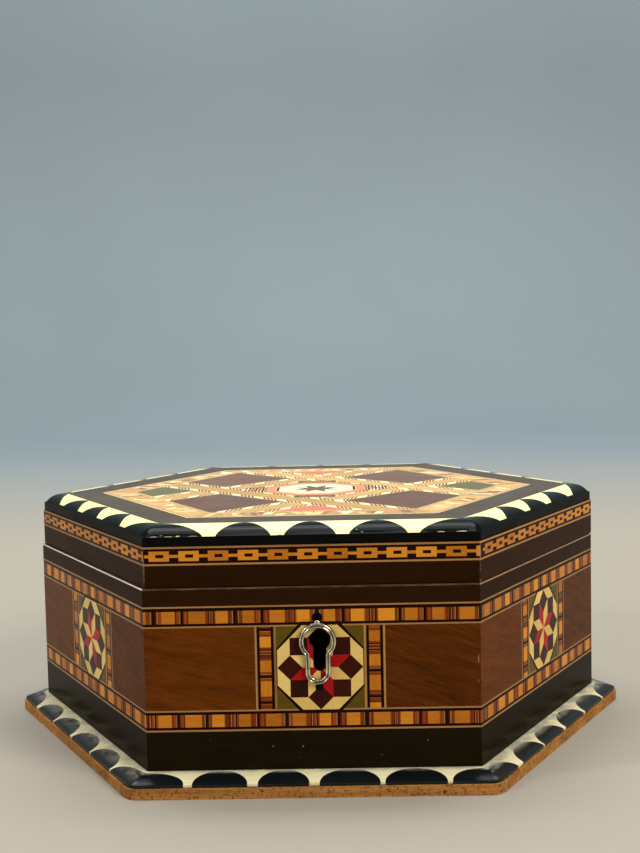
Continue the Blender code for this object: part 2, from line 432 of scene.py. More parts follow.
# %%
# Stripe bundles, and the rows made from them
BUNDLES = (
    ((BRICK, 0.4), (RUST, 0.9), (TAN, 0.2), (INK, 0.7), (BRICK, 0.35), (RUST, 0.8), (BRICK, 0.4)),
    ((RUST, 0.95), (TAN, 0.25), (INK, 0.65), (MAROON, 0.5), (TAN, 0.25), (RUST, 0.8)),
    (
        (RUST, 0.5), (BRICK, 0.25), (RUST, 0.45), (MAROON, 0.4), (TAN, 0.25), (BRICK, 0.4),
        (RUST, 0.35), (TAN, 0.2), (MAROON, 0.4), (RUST, 0.5),
    ),
)
PITCH_OF_ROW, PITCH_OF_POST = 8.05, 7.45
BLOCK_SHARES = (0.5, 0.62, 0.46, 0.44, 0.56, 0.48, 0.42)


def row_of_blocks(start, end, first, pitch=PITCH_OF_ROW, deal=(0, 1, 2)):
    """(left, right, finish) for each piece of a row; first is where one of its blocks begins."""
    pieces = []
    count = -math.ceil((first - start) / pitch)
    left = first + count * pitch
    while left < end:
        bundle = BUNDLES[deal[count % len(deal)]]
        block = pitch * BLOCK_SHARES[count % len(BLOCK_SHARES)]
        squeeze = (pitch - block) / sum(width for _, width in bundle)
        for finish, width in ((ORANGE, block), *((finish, width * squeeze) for finish, width in bundle)):
            if left < end and left + width > start:
                pieces.append((max(left, start), min(left + width, end), finish))
            left += width
        count += 1
    return pieces


def band(start, end, low, high, first, **row):
    """A level row of blocks."""
    pieces = row_of_blocks(start, end, first, **row)
    return [slab(a, b, low, high, finish, 0 if finish is ORANGE else 90) for a, b, finish in pieces]


def post(left, right, low, high, first, **row):
    """The same row stood on end."""
    pieces = row_of_blocks(low, high, first, **row)
    return [slab(left, right, a, b, finish, 90 if finish is ORANGE else 0) for a, b, finish in pieces]


print("bundles as glued, in mm:", [round(sum(width for _, width in bundle), 2) for bundle in BUNDLES])

# %% [markdown]
# ## The star panel
#
# In the middle of each side sits a panel built on an eight-pointed star: eight slim rhombi meet
# at the centre, squares fill the notches between their tips, and wider rhombi close the octagon.
# All of it comes from one length. A rhombus with a 45 degree tip and sides of that length puts
# every other corner where it belongs, so the panel needs no table of coordinates.

# %%
# The eight-pointed star in its frame
STAR = 5.3
PANEL_WIDE, PANEL_HIGH = 26.1, 25.0
POINTS = (RED, CREAM) * 4
SLANT = 22.5
SLANT_COS = math.cos(math.radians(SLANT))
DARK_EDGE = 1.1


def ray(length, degrees):
    angle = math.radians(degrees)
    return Vector((length * math.cos(angle), length * math.sin(angle)))


def octagon(middle, out):
    """An octagon whose flat sides lie that far out."""
    return [middle + ray(out / SLANT_COS, SLANT + 45 * k) for k in range(8)]


def star_panel(x, z):
    middle = Vector((x, z))
    tip = 2 * STAR * SLANT_COS
    reach = STAR * (1 + math.sqrt(2))
    corner = STAR / math.sin(math.radians(SLANT))
    left, right = x - PANEL_WIDE / 2, x + PANEL_WIDE / 2
    tiles = [slab(left, right, z - PANEL_HIGH / 2, z + PANEL_HIGH / 2, OLIVE, 20)]
    for finish, grow in ((INK, DARK_EDGE), (CREAM, 0.0)):
        around = octagon(middle, corner * SLANT_COS + grow)
        tiles.append(tile([(min(max(p.x, left), right), p.y) for p in around], finish))
    for k in range(8):
        a, b, c = 45 * k, 45 * k + SLANT, 45 * k + 45
        square = (tip, a - SLANT), (reach, a), (tip, b), (STAR, a)
        wide_rhombus = (tip, b), (reach, a), (corner, b), (reach, c)
        slim_rhombus = (0, a), (STAR, a), (tip, b), (STAR, c)
        for corners, finish, grain in (
            (square, MAROON, c), (wide_rhombus, CREAM, b), (slim_rhombus, POINTS[k], b),
        ):
            tiles.append(tile([middle + ray(*place) for place in corners], finish, grain))
    return tiles


print("octagon across flats", round(2 * STAR * (1 + math.sqrt(2)), 1), "mm")

# %% [markdown]
# ## The sides of the box
#
# Every side is the same stack of rows from the foot up: a dark band, stringing, a striped row,
# stringing, the walnut field with its panel, and the same again in reverse. The rows are one
# list of heights above the foot, so all six sides agree at the corners. What differs from side
# to side is a `SideLook`: the middle of its panel, where its rows and posts begin their blocks,
# and its rim strip, which is partly a worn edge and partly a painted highlight, lighter or darker
# from side to side as the light falls. The hidden sides repeat the plan of the visible ones.

# %%
# Rows from the foot of the wall to its rim
GROUND = FOOT_TOP
LOWER_ROW, FIELD, UPPER_ROW = (13.21, 17.0), (18.36, 43.36), (44.64, 48.36)
RIM_STRIP = 0.34
ROWS = (
    (11.86, BOG), (12.43, LINE), (LOWER_ROW[0], INK), (LOWER_ROW[1], None), (17.86, INK),
    (FIELD[0], LINE), (FIELD[1], WALNUT), (43.86, LINE), (UPPER_ROW[0], INK), (UPPER_ROW[1], None),
    (49.36, INK), (49.86, LINE), (WALL_TOP - GROUND - RIM_STRIP, EBONY),
)
GRAIN_LEFT, GRAIN_RIGHT = -13, -19
BORDER = ((LINE, 0.7), (INK, 0.85), (None, 3.3), (INK, 0.9), (LINE, 0.6))
SideLook = namedtuple("SideLook", "middle upper lower posts rim")
# Each rim is the top strip's wood and tone: a worn edge with a painted highlight, lighter or darker by side
# as the light falls.
LOOKS = {
    "front": SideLook(2.4, -44.6, -46.4, (20.6, 22.0), (EDGE_WEAR_AND_HIGHLIGHT, 0.75)),
    "front_right": SideLook(1.6, -47.2, -45.1, (21.8, 23.4), (EDGE_WEAR_AND_HIGHLIGHT, 0.15)),
    "back_right": SideLook(1.8, -43.9, -48.0, (23.1, 20.4), (EDGE_WEAR_AND_HIGHLIGHT, 0.6)),
    "back": SideLook(2.0, -46.1, -44.2, (20.0, 24.6), (EDGE_WEAR_AND_HIGHLIGHT, 0.7)),
    "back_left": SideLook(2.2, -48.3, -46.9, (22.7, 21.2), (EDGE_WEAR_AND_HIGHLIGHT, 0.5)),
    "front_left": SideLook(2.4, -45.4, -47.5, (24.1, 22.4), (EDGE_WEAR_AND_STRONG_HIGHLIGHT, 0.2)),
}


def wall_tiles(look):
    tiles = []
    below = WALL_LOW
    for height, finish in ROWS:
        if finish:
            grain = GRAIN_LEFT if finish is WALNUT else 0
            tiles.append(slab(-EDGE, EDGE, below, GROUND + height, finish, grain, tone=0.5))
        below = GROUND + height
    # The rim strip: a worn edge with a painted highlight.
    rim_finish, rim_tone = look.rim
    tiles.append(slab(-EDGE, EDGE, below, WALL_TOP, rim_finish, tone=rim_tone))
    tiles += band(-EDGE, EDGE, GROUND + LOWER_ROW[0], GROUND + LOWER_ROW[1], look.lower)
    tiles += band(-EDGE, EDGE, GROUND + UPPER_ROW[0], GROUND + UPPER_ROW[1], look.upper, deal=(0, 2, 1))
    low, high = GROUND + FIELD[0], GROUND + FIELD[1]
    tiles.append(slab(look.middle, EDGE, low, high, WALNUT, GRAIN_RIGHT, tone=0.7))
    tiles += star_panel(look.middle, (low + high) / 2)
    for end, first in zip((-1, 1), look.posts):
        at = look.middle + end * PANEL_WIDE / 2
        for finish, width in BORDER:
            left, right = sorted((at, at + end * width))
            if finish:
                tiles.append(slab(left, right, low, high, finish, 90))
            else:
                tiles += post(left, right, low, high, first, pitch=PITCH_OF_POST)
            at += end * width
    return tiles


print(len(wall_tiles(LOOKS["front"])), "shapes drawn for one side")

# %% [markdown]
# The keyhole and the nail hole above it have to be open in the veneer too. Their outlines are
# read off the front of the measured wall, so the holes line up exactly, and they are laid last as
# shapes with no wood at all.


# %%
# Outlines of the two holes, from the measured wall
NEAR_MIDDLE, ABOVE_STEM = 20, 45


def hole_outlines():
    """The keyhole's points and the nail hole's, parted at the widest gap above the keyhole's stem."""
    front = {
        (round(v.co.x / MM, 3), round(v.co.z / MM, 3))
        for v in nodes["wall_front"].data.vertices
        if abs(v.co.y / MM + WALL_OUT) < 0.01 and abs(v.co.x / MM) < NEAR_MIDDLE
    }
    heights = sorted(z for _, z in front)
    _, split = max((b - a, (a + b) / 2) for a, b in zip(heights, heights[1:]) if a > ABOVE_STEM)
    outlines = []
    for above in (False, True):
        ring = [Vector(point) for point in front if (point[1] > split) == above]
        top = max(point.y for point in ring)
        wide = max(point.x for point in ring) - min(point.x for point in ring)
        hub = Vector((sum(point.x for point in ring) / len(ring), top - wide / 2))
        ring.sort(key=lambda point: math.atan2(point.y - hub.y, point.x - hub.x))
        outlines.append(ring)
    return outlines


KEYHOLE, NAIL_HOLE = hole_outlines()
NAIL_MIDDLE = middle_of(NAIL_HOLE)
NAIL_RADIUS = max((point - NAIL_MIDDLE).length for point in NAIL_HOLE)
print(len(KEYHOLE), "points round the keyhole,", len(NAIL_HOLE), "round the nail hole")

# %% [markdown]
# Veneer of this kind is about a fifth of a millimetre thick and meets in mitres at the corners.
# Six loose sheets would leave slits there. So all six are laid in one mesh, welded and rounded
# along the corners, and the whole sleeve then gets its thickness inwards.


# %%
# Wrap the sheets round the box
CORNER_ROUND, CORNER_WEAR = 0.45, 0.35
GLUE, WELD = 0.02, 2e-6


def upright(turn, shift):
    """Takes (along a side, height) to a point in space, for the side turned by that angle."""
    spin = Matrix.Rotation(turn, 3, "Z")
    return lambda x, z: (spin @ Vector((x, -SIDE_OUT, z)) + Vector((*shift, 0))) * MM


def thicken(bm, faces, back):
    """Gives a sheet its thickness: a copy of every face, moved by back, closes the other side."""
    grown = bmesh.ops.extrude_face_region(bm, geom=faces, use_keep_orig=True)["geom"]
    for vert in [item for item in grown if isinstance(item, bmesh.types.BMVert)]:
        vert.co = back(vert.co)
    bmesh.ops.recalc_face_normals(bm, faces=bm.faces)


def soften_corners(bm):
    """Rounds the six upright outer corners and marks them as worn."""
    wear_of = bm.faces.layers.float.new("wear")
    corners = []
    for edge in bm.edges:
        upright_edge = abs(edge.verts[0].co.z - edge.verts[1].co.z) > 1e-6
        if upright_edge and len(edge.link_faces) == 2 and abs(edge.calc_face_angle(0) - TURN) < 0.1:
            corners.append(edge)
    rounded = bmesh.ops.bevel(
        bm, geom=corners, offset=CORNER_ROUND * MM, offset_type="OFFSET", segments=2, profile=0.5,
        affect="EDGES", clamp_overlap=True, material=-1,
    )
    for face in rounded["faces"]:
        face[wear_of] = CORNER_WEAR


def wrap(name, tiles_of, heights, shift):
    """Lays a sheet on each side, with a point at every height of its ends, and joins the six."""
    bm = bmesh.new()
    finishes = []
    ends = [[(end * EDGE, height) for height in heights] for end in (-1, 1)]
    for index, side in enumerate(SIDES):
        lay(bm, tiles_of(side), upright(index * TURN, shift), finishes, ends)
    bmesh.ops.remove_doubles(bm, verts=bm.verts, dist=WELD)
    soften_corners(bm)
    middle = Vector(shift) * MM
    inner = (WALL_OUT + GLUE) / SIDE_OUT
    thicken(bm, bm.faces[:], lambda co: Vector((*(middle + (co.xy - middle) * inner), co.z)))
    shown(bm, name, finishes)


print("sleeve corners rounded by", CORNER_ROUND, "mm")

# %% [markdown]
# The front also shows its age: small chips, a burnt stain under the keyhole, and a dark ring
# round the nail hole. They could be painted over the finished sheet, but as ragged shapes laid
# with the rest they stay sharp, and the sheet stays in one piece.

# %%
# The body's marquetry
FRONT_SPECKS = (
    (EDGE - 0.68, 32.6, 0.14, 1.5), (EDGE - 0.7, 26.0, 0.14, 0.5), (-12.2, 7.1, 0.35, 0.13),
    (-3.2, 7.0, 0.3, 0.18), (-4.4, 3.6, 0.16, 0.12), (34.1, 8.2, 0.14, 0.3), (20.3, 4.0, 0.3, 0.1),
    (-31.0, 9.4, 0.2, 0.1),
)
STAIN = (-0.4, -4.6, 1.6, 1.3)
DARK_RING = 1.35


def body_tiles(side):
    tiles = wall_tiles(LOOKS[side])
    if side == "front":
        foot = min(KEYHOLE, key=lambda point: point.y)
        across, up, wide, high = STAIN
        tiles.append(splash(foot.x + across, foot.y + up, wide, high, PITCH))
        tiles += [splash(x, GROUND + z, wide, high, CHIP) for x, z, wide, high in FRONT_SPECKS]
        tiles.append(tile([NAIL_MIDDLE + (p - NAIL_MIDDLE) * DARK_RING for p in NAIL_HOLE], PITCH))
        tiles += [tile(ring, None) for ring in (KEYHOLE, NAIL_HOLE)]
    return tiles


body_heights = [WALL_LOW, *(GROUND + height for height, _ in ROWS[:-1]), WALL_TOP]
wrap("body_marquetry", body_tiles, body_heights, (0, 0))

# %% [markdown]
# ## The chain round the lid
#
# The lid's sides carry a chain: oblong links, each with a slot sawn through it, joined by short
# bars on a black ground. Cutting each link's outline would be slow, and plain rectangles laid in
# order give the same picture: the ground, one long bar, and then every link with its slot.

# %%
# The chain and the rows round it
CHAIN_LOW, CHAIN_HIGH = GROUND + 62.57, GROUND + 67.07
CHAIN_MIDDLE = (CHAIN_LOW + CHAIN_HIGH) / 2
STRINGING = 0.57
LINK_PITCH, LINK_WIDE = 8.84, 6.1
SLOT_LEFT, SLOT_RIGHT = 2.0, 4.4
BAR_LEAD = 1.4
LINK_HALF, SLOT_HALF, BAR_HALF = 1.525, 0.5, 0.45
CHAIN_STARTS = dict(zip(SIDES, (-48.4, -46.9, -49.2, -47.7, -46.4, -48.1)))


def bar(left, right, half, finish, tone=None):
    """A level bar along the middle of the chain."""
    return slab(left, right, CHAIN_MIDDLE - half, CHAIN_MIDDLE + half, finish, tone=tone)


def lid_tiles(side):
    rows = (
        (RAIL_LOW, RAIL_TOP, EBONY), (CHAIN_LOW - STRINGING, CHAIN_LOW, LINE), (CHAIN_LOW, CHAIN_HIGH, INK),
        (CHAIN_HIGH, CHAIN_HIGH + STRINGING, LINE), (CHAIN_HIGH + STRINGING, RAIL_TOP, INK),
    )
    tiles = [slab(-EDGE, EDGE, low, high, finish) for low, high, finish in rows]
    at = CHAIN_STARTS[side]
    tiles.append(bar(max(-EDGE, at - BAR_LEAD), EDGE, BAR_HALF, ORANGE, tone=0.5))
    while at < EDGE:
        tiles.append(bar(at, min(at + LINK_WIDE, EDGE), LINK_HALF, ORANGE))
        if at + SLOT_RIGHT < EDGE:
            tiles.append(bar(at + SLOT_LEFT, at + SLOT_RIGHT, SLOT_HALF, INK))
        at += LINK_PITCH * chance.uniform(0.99, 1.01)
    return tiles


lid_heights = [RAIL_LOW, CHAIN_LOW - STRINGING, CHAIN_LOW, CHAIN_HIGH, CHAIN_HIGH + STRINGING, RAIL_TOP]
for half in (LINK_HALF, SLOT_HALF, BAR_HALF):
    lid_heights += [CHAIN_MIDDLE - half, CHAIN_MIDDLE + half]
wrap("lid_side_marquetry", lid_tiles, sorted(lid_heights), LID_SHIFT.xy)

# %% [markdown]
# ## The lobed mouldings
#
# The lid's edge and the foot are crowned strips with black lobes let into ivory, or the other way
# round. They are drawn in plan like the flat pictures and then lifted onto the crown. To bend
# smoothly, the sheet is also cut along lines at equal steps across the crown. The shading
# normals are worked out from the crown itself, which hides the facets between those cuts.
#
# A `Crown` holds where the curve begins and ends, its height at both, how full it is, and how far
# out its ridges and its outline start to turn the corners in arcs.

# %%
# Plan outlines and the crown they are lifted onto
NORMALS = [Vector((math.sin(k * TURN), -math.cos(k * TURN))) for k in range(len(SIDES))]
NUDGE = 0.02


def hexagon(out):
    radius = out / math.cos(HALF)
    return [ray(radius, 60 * k) for k in range(6)]


def rim_line(round_from, out):
    """A closed line at one distance out, with corners that are rounded from round_from outwards."""
    line = hexagon(out)
    if out > round_from + 1e-6:
        line = []
        for index, corner in enumerate(hexagon(round_from)):
            line += [corner + ray(out - round_from, 60 * index - 30 + 10 * step) for step in range(7)]
    return [*line, line[0]]


def reach_of(point, inner):
    """How far out a point lies: up to inner by flat sides, and from there by rounded corners."""
    along = max(point.dot(normal) for normal in NORMALS)
    if along <= inner:
        return along
    normal = max(NORMALS, key=point.dot)
    past = abs(point.cross(normal)) - inner * math.tan(HALF)
    return along if past <= 0 else inner + math.hypot(along - inner, past)


Crown = namedtuple("Crown", "inner outer arris top power round_from corner_from")


def crown_height(crown, point):
    share = (reach_of(point, crown.round_from) - crown.inner) / (crown.outer - crown.inner)
    share = min(max(share, 0.0), 1.0)
    return crown.arris + (crown.top - crown.arris) * (1 - share**crown.power)


def crown_normal(crown, point, towards):
    """The crown's normal at a point, as seen from the face whose middle is towards."""
    point = point + (towards - point) * NUDGE
    rise = [
        (crown_height(crown, point + Vector(move)) - crown_height(crown, point - Vector(move))) / (2 * NUDGE)
        for move in ((NUDGE, 0), (0, NUDGE))
    ]
    return Vector((-rise[0], -rise[1], 1)).normalized()


LID_CROWN = Crown(
    inner=LID_OUT - 7.4, outer=LID_OUT, arris=LID_TOP - 2.9, top=LID_TOP, power=3,
    round_from=LID_OUT - 5.5, corner_from=LID_OUT - 1.8,
)
FOOT_CROWN = Crown(
    inner=WALL_OUT + 0.3, outer=FOOT_OUT, arris=FOOT_TOP - 1.6, top=FOOT_TOP, power=2,
    round_from=FOOT_OUT - 4.4, corner_from=FOOT_OUT - 4.4,
)
print("lid crown", [round(value, 2) for value in LID_CROWN])

# %% [markdown]
# A lobe is a tongue of black wood, widest at the moulding's edge. An ellipse drawn in plan would
# look blunt on the steep outer part of the crown. So a lobe narrows by how high it has climbed:
# `share` is how much that counts against plain distance, `swell` rounds its sides, and `tip` is
# how far from the wall it ends.


# %%
# Outlines of the lobes
Lobes = namedtuple("Lobes", "tip share swell")
PAST_ARRIS = 0.6
LOBE_STEPS = 14
LOBE_EASE = 1.2
BEYOND = 3


def lobe_edge(crown, lobes):
    """(distance out, half width from 1 to 0) up one edge of a lobe, from past the arris to its tip."""
    edge = [(crown.outer + PAST_ARRIS, 1.0)]
    heights = []
    for step in range(LOBE_STEPS + 1):
        out = 1 - (1 - lobes.tip) * (step / LOBE_STEPS) ** LOBE_EASE
        heights.append((out, lobes.share * (1 - out**crown.power) + (1 - lobes.share) * (1 - out)))
    for out, height in heights:
        full = 1 - (height / heights[-1][1]) ** lobes.swell
        edge.append((crown.inner + (crown.outer - crown.inner) * out, math.sqrt(max(full, 0.0))))
    return edge


def lobe(crown, lobes, middle, half, index, finish=JET):
    """A lobe on one of the six sides, its flat side along the arris."""
    edge = lobe_edge(crown, lobes)
    outline = [(middle + half * wide, -out) for out, wide in edge]
    outline += [(middle - half * wide, -out) for out, wide in reversed(edge[:-1])]
    return tile(turned(outline, index), finish, 60 * index)


def corner_lobe(crown, lobes, length, crest, index, finish=JET):
    """The lobe that turns a corner: that long on both sides, and highest crest away from it."""
    corner = crown.outer * math.tan(HALF)
    side = [
        Vector((corner - crest - (length - crest) * wide, -out)) for out, wide in lobe_edge(crown, lobes)
    ]
    axis = ray(1, -60)
    outline = [ray(crown.outer / math.cos(HALF) + BEYOND, -60), *side]
    outline += [2 * point.dot(axis) * axis - point for point in reversed(side)]
    return tile(turned(outline, index), finish, 60 * index)


print(len(lobe_edge(LID_CROWN, Lobes(0.0, 0.71, 1.4))), "points up one edge of a lobe")

# %% [markdown]
# The drawn sheet is lifted onto its crown, trimmed to the rounded corners and closed underneath,
# and then takes the place of six measured strips. Bevelling the measured strips would be
# simpler, but the outlines of the lobes would still have to be cut into them.


# %%
# Steps that finish a solid sheet
def trim(bm, round_from, out):
    """Deletes the faces that lie past the edge."""
    spare = [face for face in bm.faces if reach_of(face.calc_center_median().xy, round_from) > out + 1e-3]
    bmesh.ops.delete(bm, geom=spare, context="FACES")


def recolour(faces, finish, finishes):
    finishes.append(finish)
    for face in faces:
        face.material_index = len(finishes) - 1


def strew(bm, crown, dust_and_sheen_spread):
    """Dust, partly a painted sheen, from the wall out: how far it lies and how thick, for each side in turn.
    """
    dust_and_sheen_of = bm.verts.layers.float.new("dust_and_sheen")
    for vert in bm.verts:
        along = [vert.co.xy.dot(normal) for normal in NORMALS]
        lies, thick = dust_and_sheen_spread[along.index(max(along))]
        vert[dust_and_sheen_of] = thick * max(0.0, 1 - (max(along) - crown.inner) / lies)


def settle(bm, shift):
    """Moves a mesh drawn in millimetres to its place, and turns it into metres."""
    bmesh.ops.translate(bm, vec=(*shift, 0), verts=bm.verts)
    bmesh.ops.scale(bm, vec=(MM, MM, MM), verts=bm.verts)


# %%
# The finished moulding
CROWN_CUTS = 8
UPRIGHT, CROWNED = 0.2, 0.3


def moulding(name, part, crown, ground, marks, bottom, edge_finish, shift, dust_and_sheen_spread=()):
    bm = bmesh.new()
    finishes = []
    sectors = []
    inner, outer = hexagon(crown.inner), hexagon(crown.outer + BEYOND)
    for index in range(6):
        nxt = (index + 1) % 6
        outline = [inner[index], outer[index], outer[nxt], inner[nxt]]
        sectors.append(tile(outline, ground, 60 * index + 120))
    wide = crown.outer - crown.inner
    cuts = [crown.inner + wide * step / CROWN_CUTS for step in range(1, CROWN_CUTS + 1)]
    rings = [rim_line(crown.round_from, out) for out in cuts]
    rings.append(rim_line(crown.corner_from, crown.outer))
    lay(bm, [*sectors, *marks], lambda x, y: Vector((x, y, 0)), finishes, rings, flat_sheet=False)
    trim(bm, crown.corner_from, crown.outer)
    if dust_and_sheen_spread:
        strew(bm, crown, dust_and_sheen_spread)
    for vert in bm.verts:
        vert.co.z = crown_height(crown, vert.co.xy)
    thicken(bm, bm.faces[:], lambda co: Vector((co.x, co.y, bottom)))
    if edge_finish:
        recolour([face for face in bm.faces if abs(face.normal.z) < UPRIGHT], edge_finish, finishes)
    normals = []
    for face in bm.faces:
        middle = face.calc_center_median().xy
        crowned = face.normal.z > CROWNED
        for loop in face.loops:
            spot = loop.vert.co.xy
            normals.append(crown_normal(crown, spot, middle) if crowned else face.normal.copy())
    settle(bm, shift)
    stands_for = [f"{part}_{side}" for side in SIDES]
    piece = shown(bm, name, finishes, stands_for)
    piece.data.shade_smooth()
    piece.data.normals_split_custom_set(normals)


print("the crown is cut into", CROWN_CUTS, "strips")

# %% [markdown]
# The lid's moulding has ivory tongues between black lobes: three lobes to a side, and one round
# each corner. The lacquer has chipped along the front edge, which is laid as small pale splashes.
# On the other sides the black runs on as a narrow line above the edge.

# %%
# The lid's moulding
LID_LOBES = Lobes(tip=0.0, share=0.71, swell=1.4)
LID_PLACES = ((-20.2, 8.2), (-0.3, 7.7), (20.0, 8.7))
LINE_LONG, LINE_WIDE = 45, 0.7
CHIPS = (
    (-47.3, 0.05, 2.0), (-44.6, 0.4, 0.5), (-42.4, 0.0, 1.7), (-39.6, 0.1, 0.8), (-35.2, 0.05, 1.6),
    (-9.2, 0.0, 0.7), (13.6, 1.1, 0.3), (15.2, 0.4, 0.4), (38.4, 0.05, 1.5), (44.8, 0.1, 2.0),
)
CHIP_HIGH = 0.18

marks = [corner_lobe(LID_CROWN, LID_LOBES, 17.7, 5.0, index) for index in range(6)]
for index in range(6):
    for middle, half in LID_PLACES:
        middle += chance.uniform(-0.5, 0.5) if index else 0
        marks.append(lobe(LID_CROWN, LID_LOBES, middle, half, index))
    if index:
        low, high = -LID_OUT - 1, LINE_WIDE - LID_OUT
        line = ((-LINE_LONG, low), (LINE_LONG, low), (LINE_LONG, high), (-LINE_LONG, high))
        marks.append(tile(turned(line, index), JET))
for x, inward, wide in CHIPS:
    marks.append(splash(x, inward - LID_OUT, wide, CHIP_HIGH, CHIP))
moulding("lid_moulding", "lid_moulding", LID_CROWN, IVORY, marks, LID_LOW, SOOT, LID_SHIFT.xy)

# %% [markdown]
# The foot's moulding has four lobes to a side, of unequal length, since each was cut by hand. No
# cloth reaches into the corner behind it, so dust lies there, widest on the two slanting sides
# at the front. On the front-left side the grey film runs on over the lobes as a painted sheen.
# It could be a layer of its own, but a number on each point is enough for a haze.

# %%
# The foot's moulding
FOOT_LOBES = Lobes(tip=0.07, share=0.37, swell=2.1)
SIDE_LOBES = Lobes(tip=0.22, share=0.37, swell=2.4)
CORNER_LOBES = Lobes(tip=0.16, share=0.37, swell=2.3)
FRONT_PLACES = ((-36.0, -19.7), (-16.6, -1.4), (1.6, 19.5), (20.9, 39.2))
OTHER_PLACES = ((-37.0, -19.6), (-18.2, -0.7), (0.9, 18.6), (20.1, 38.0))
CORNER_LENGTHS = (13.9, 15.2, 15.0, 15.6, 15.1, 16.0)
# Per side (how far, how thick) from the wall: dust, and on the front-left also a painted sheen over the
# lobes.
DUST_AND_SHEEN_SPREAD = ((2.4, 1.2), (4.6, 1.6), (2.5, 0.8), (2.0, 0.8), (2.5, 0.8), (6.5, 0.8))

marks = [
    corner_lobe(FOOT_CROWN, CORNER_LOBES, length, 4.0, index, LACQUER)
    for index, length in enumerate(CORNER_LENGTHS)
]
for index in range(6):
    look, places = (SIDE_LOBES, OTHER_PLACES) if index else (FOOT_LOBES, FRONT_PLACES)
    for left, right in places:
        drift = chance.uniform(-0.3, 0.3) if index else 0
        middle, half = (left + right) / 2 + drift, (right - left) / 2
        marks.append(lobe(FOOT_CROWN, look, middle, half, index, LACQUER))
moulding("foot_moulding", "base_moulding", FOOT_CROWN, AGED, marks, FOOT_LOW, None, (0, 0), DUST_AND_SHEEN_SPREAD)

# %% [markdown]
# ## The picture on the lid
#
# The lid's picture is ruled from two pairs of crossing bands at forty-five degrees, the same
# distance either side of the middle. What they leave over makes the rest: four mauve
# quadrilaterals, two green kites, two salmon triangles, and the square in the middle that holds
# the star. Every field is drawn too long, and the border, laid later, cuts it off cleanly.

# %%
# Fields and bands of the lid
INLAY_OUT, BORDER_WIDE = 67.7, 10.6
FIELD_OUT = INLAY_OUT - BORDER_WIDE
BAND_NEAR, BAND_FAR = 24.0, 44.3
BAND_HALF = (BAND_FAR - BAND_NEAR) / 2 / math.sqrt(2)
TICK_STEP, TICKS, TICK_PITCH, TICK_WIDE = 12, 4, 1.9, 1.0
TICK_BLOCK, TICK_SLANT = 4.4, 1.4
RIBBON_END = 60


def ribbon(middle, direction, low, high, finish, left=-RIBBON_END, right=RIBBON_END, slant=0.0):
    """A strip along a line through middle, from low to high beside it, its ends slanted by slant."""
    along = ray(1, direction)
    side = Vector((-along.y, along.x))
    corners = ((left, low), (right, low), (right + slant, high), (left + slant, high))
    return tile([middle + along * a + side * b for a, b in corners], finish, direction)


def tick_row(middle, direction, low, high, first):
    """Cream blocks and groups of slanting dark ticks in turn, like the strands of a rope."""
    slant = math.copysign(TICK_SLANT * (high - low), direction)
    pieces = []
    for at in range(first - 6 * TICK_STEP, RIBBON_END + 1, TICK_STEP):
        pieces.append((HOLLY, at, at + TICK_BLOCK))
        for tick in range(TICKS):
            start = at + TICK_BLOCK + TICK_PITCH * tick
            pieces.append((INK, start, start + TICK_WIDE))
            pieces.append((STRAW, start + TICK_WIDE, start + TICK_PITCH))
    return [ribbon(middle, direction, low, high, *piece, slant) for piece in pieces]


lid_marks = [tile(hexagon(PANEL_OUT), SLATE, 0), tile(hexagon(FIELD_OUT), MAUVE, 12, 0.5)]
near, far, past = BAND_NEAR, BAND_FAR, 90
quad = (
    (far - near, far + near), (far + near, far - near),
    (past + near, past - near), (past - near, past + near),
)
for sign_x, sign_y in ((1, 1), (-1, 1), (-1, -1), (1, -1)):
    lid_marks.append(tile([(sign_x * x / 2, sign_y * y / 2) for x, y in quad], MAUVE, 8))
kite, triangle = ((far, 0), (80, -36), (80, 36)), ((0, far), (20, 64.3), (-20, 64.3))
for sign in (1, -1):
    lid_marks.append(tile([(sign * x, sign * y) for x, y in kite], SAGE, 60))
    lid_marks.append(tile([(sign * x, sign * y) for x, y in triangle], SALMON, 90))
for direction in (45, -45):
    across = ray(1, direction + 90)
    for sign in (1, -1):
        middle = across * sign * (BAND_NEAR + BAND_FAR) / 2 / math.sqrt(2)
        lid_marks.append(ribbon(middle, direction, -BAND_HALF, BAND_HALF, STRAW))
        lid_marks += tick_row(middle, direction, -BAND_HALF + 0.4, -BAND_HALF + 3.3, 2)
        lid_marks += tick_row(middle, direction, BAND_HALF - 3.3, BAND_HALF - 0.4, 7)
        for inset, finish in ((3.7, RUST), (3.95, GOLD)):
            lid_marks.append(ribbon(middle, direction, -BAND_HALF + inset, BAND_HALF - inset, finish))
print(len(lid_marks), "shapes so far on the lid")

# %% [markdown]
# In the middle, an octagon with a small star stands in a ring of coral wood. Fine upright stripes
# run off it left and right, and a tan block edged in green closes it above and below. Both pairs
# are mirror images, so a sign runs through one recipe instead of a second one being written.

# %%
# The medallion
STRIPES, STRIPE_PITCH, STRIPE_WIDE = 6, 1.25, 0.6
MIDDLE = Vector((0, 0))


def mirrored(sign, near, far):
    return sorted((sign * near, sign * far))


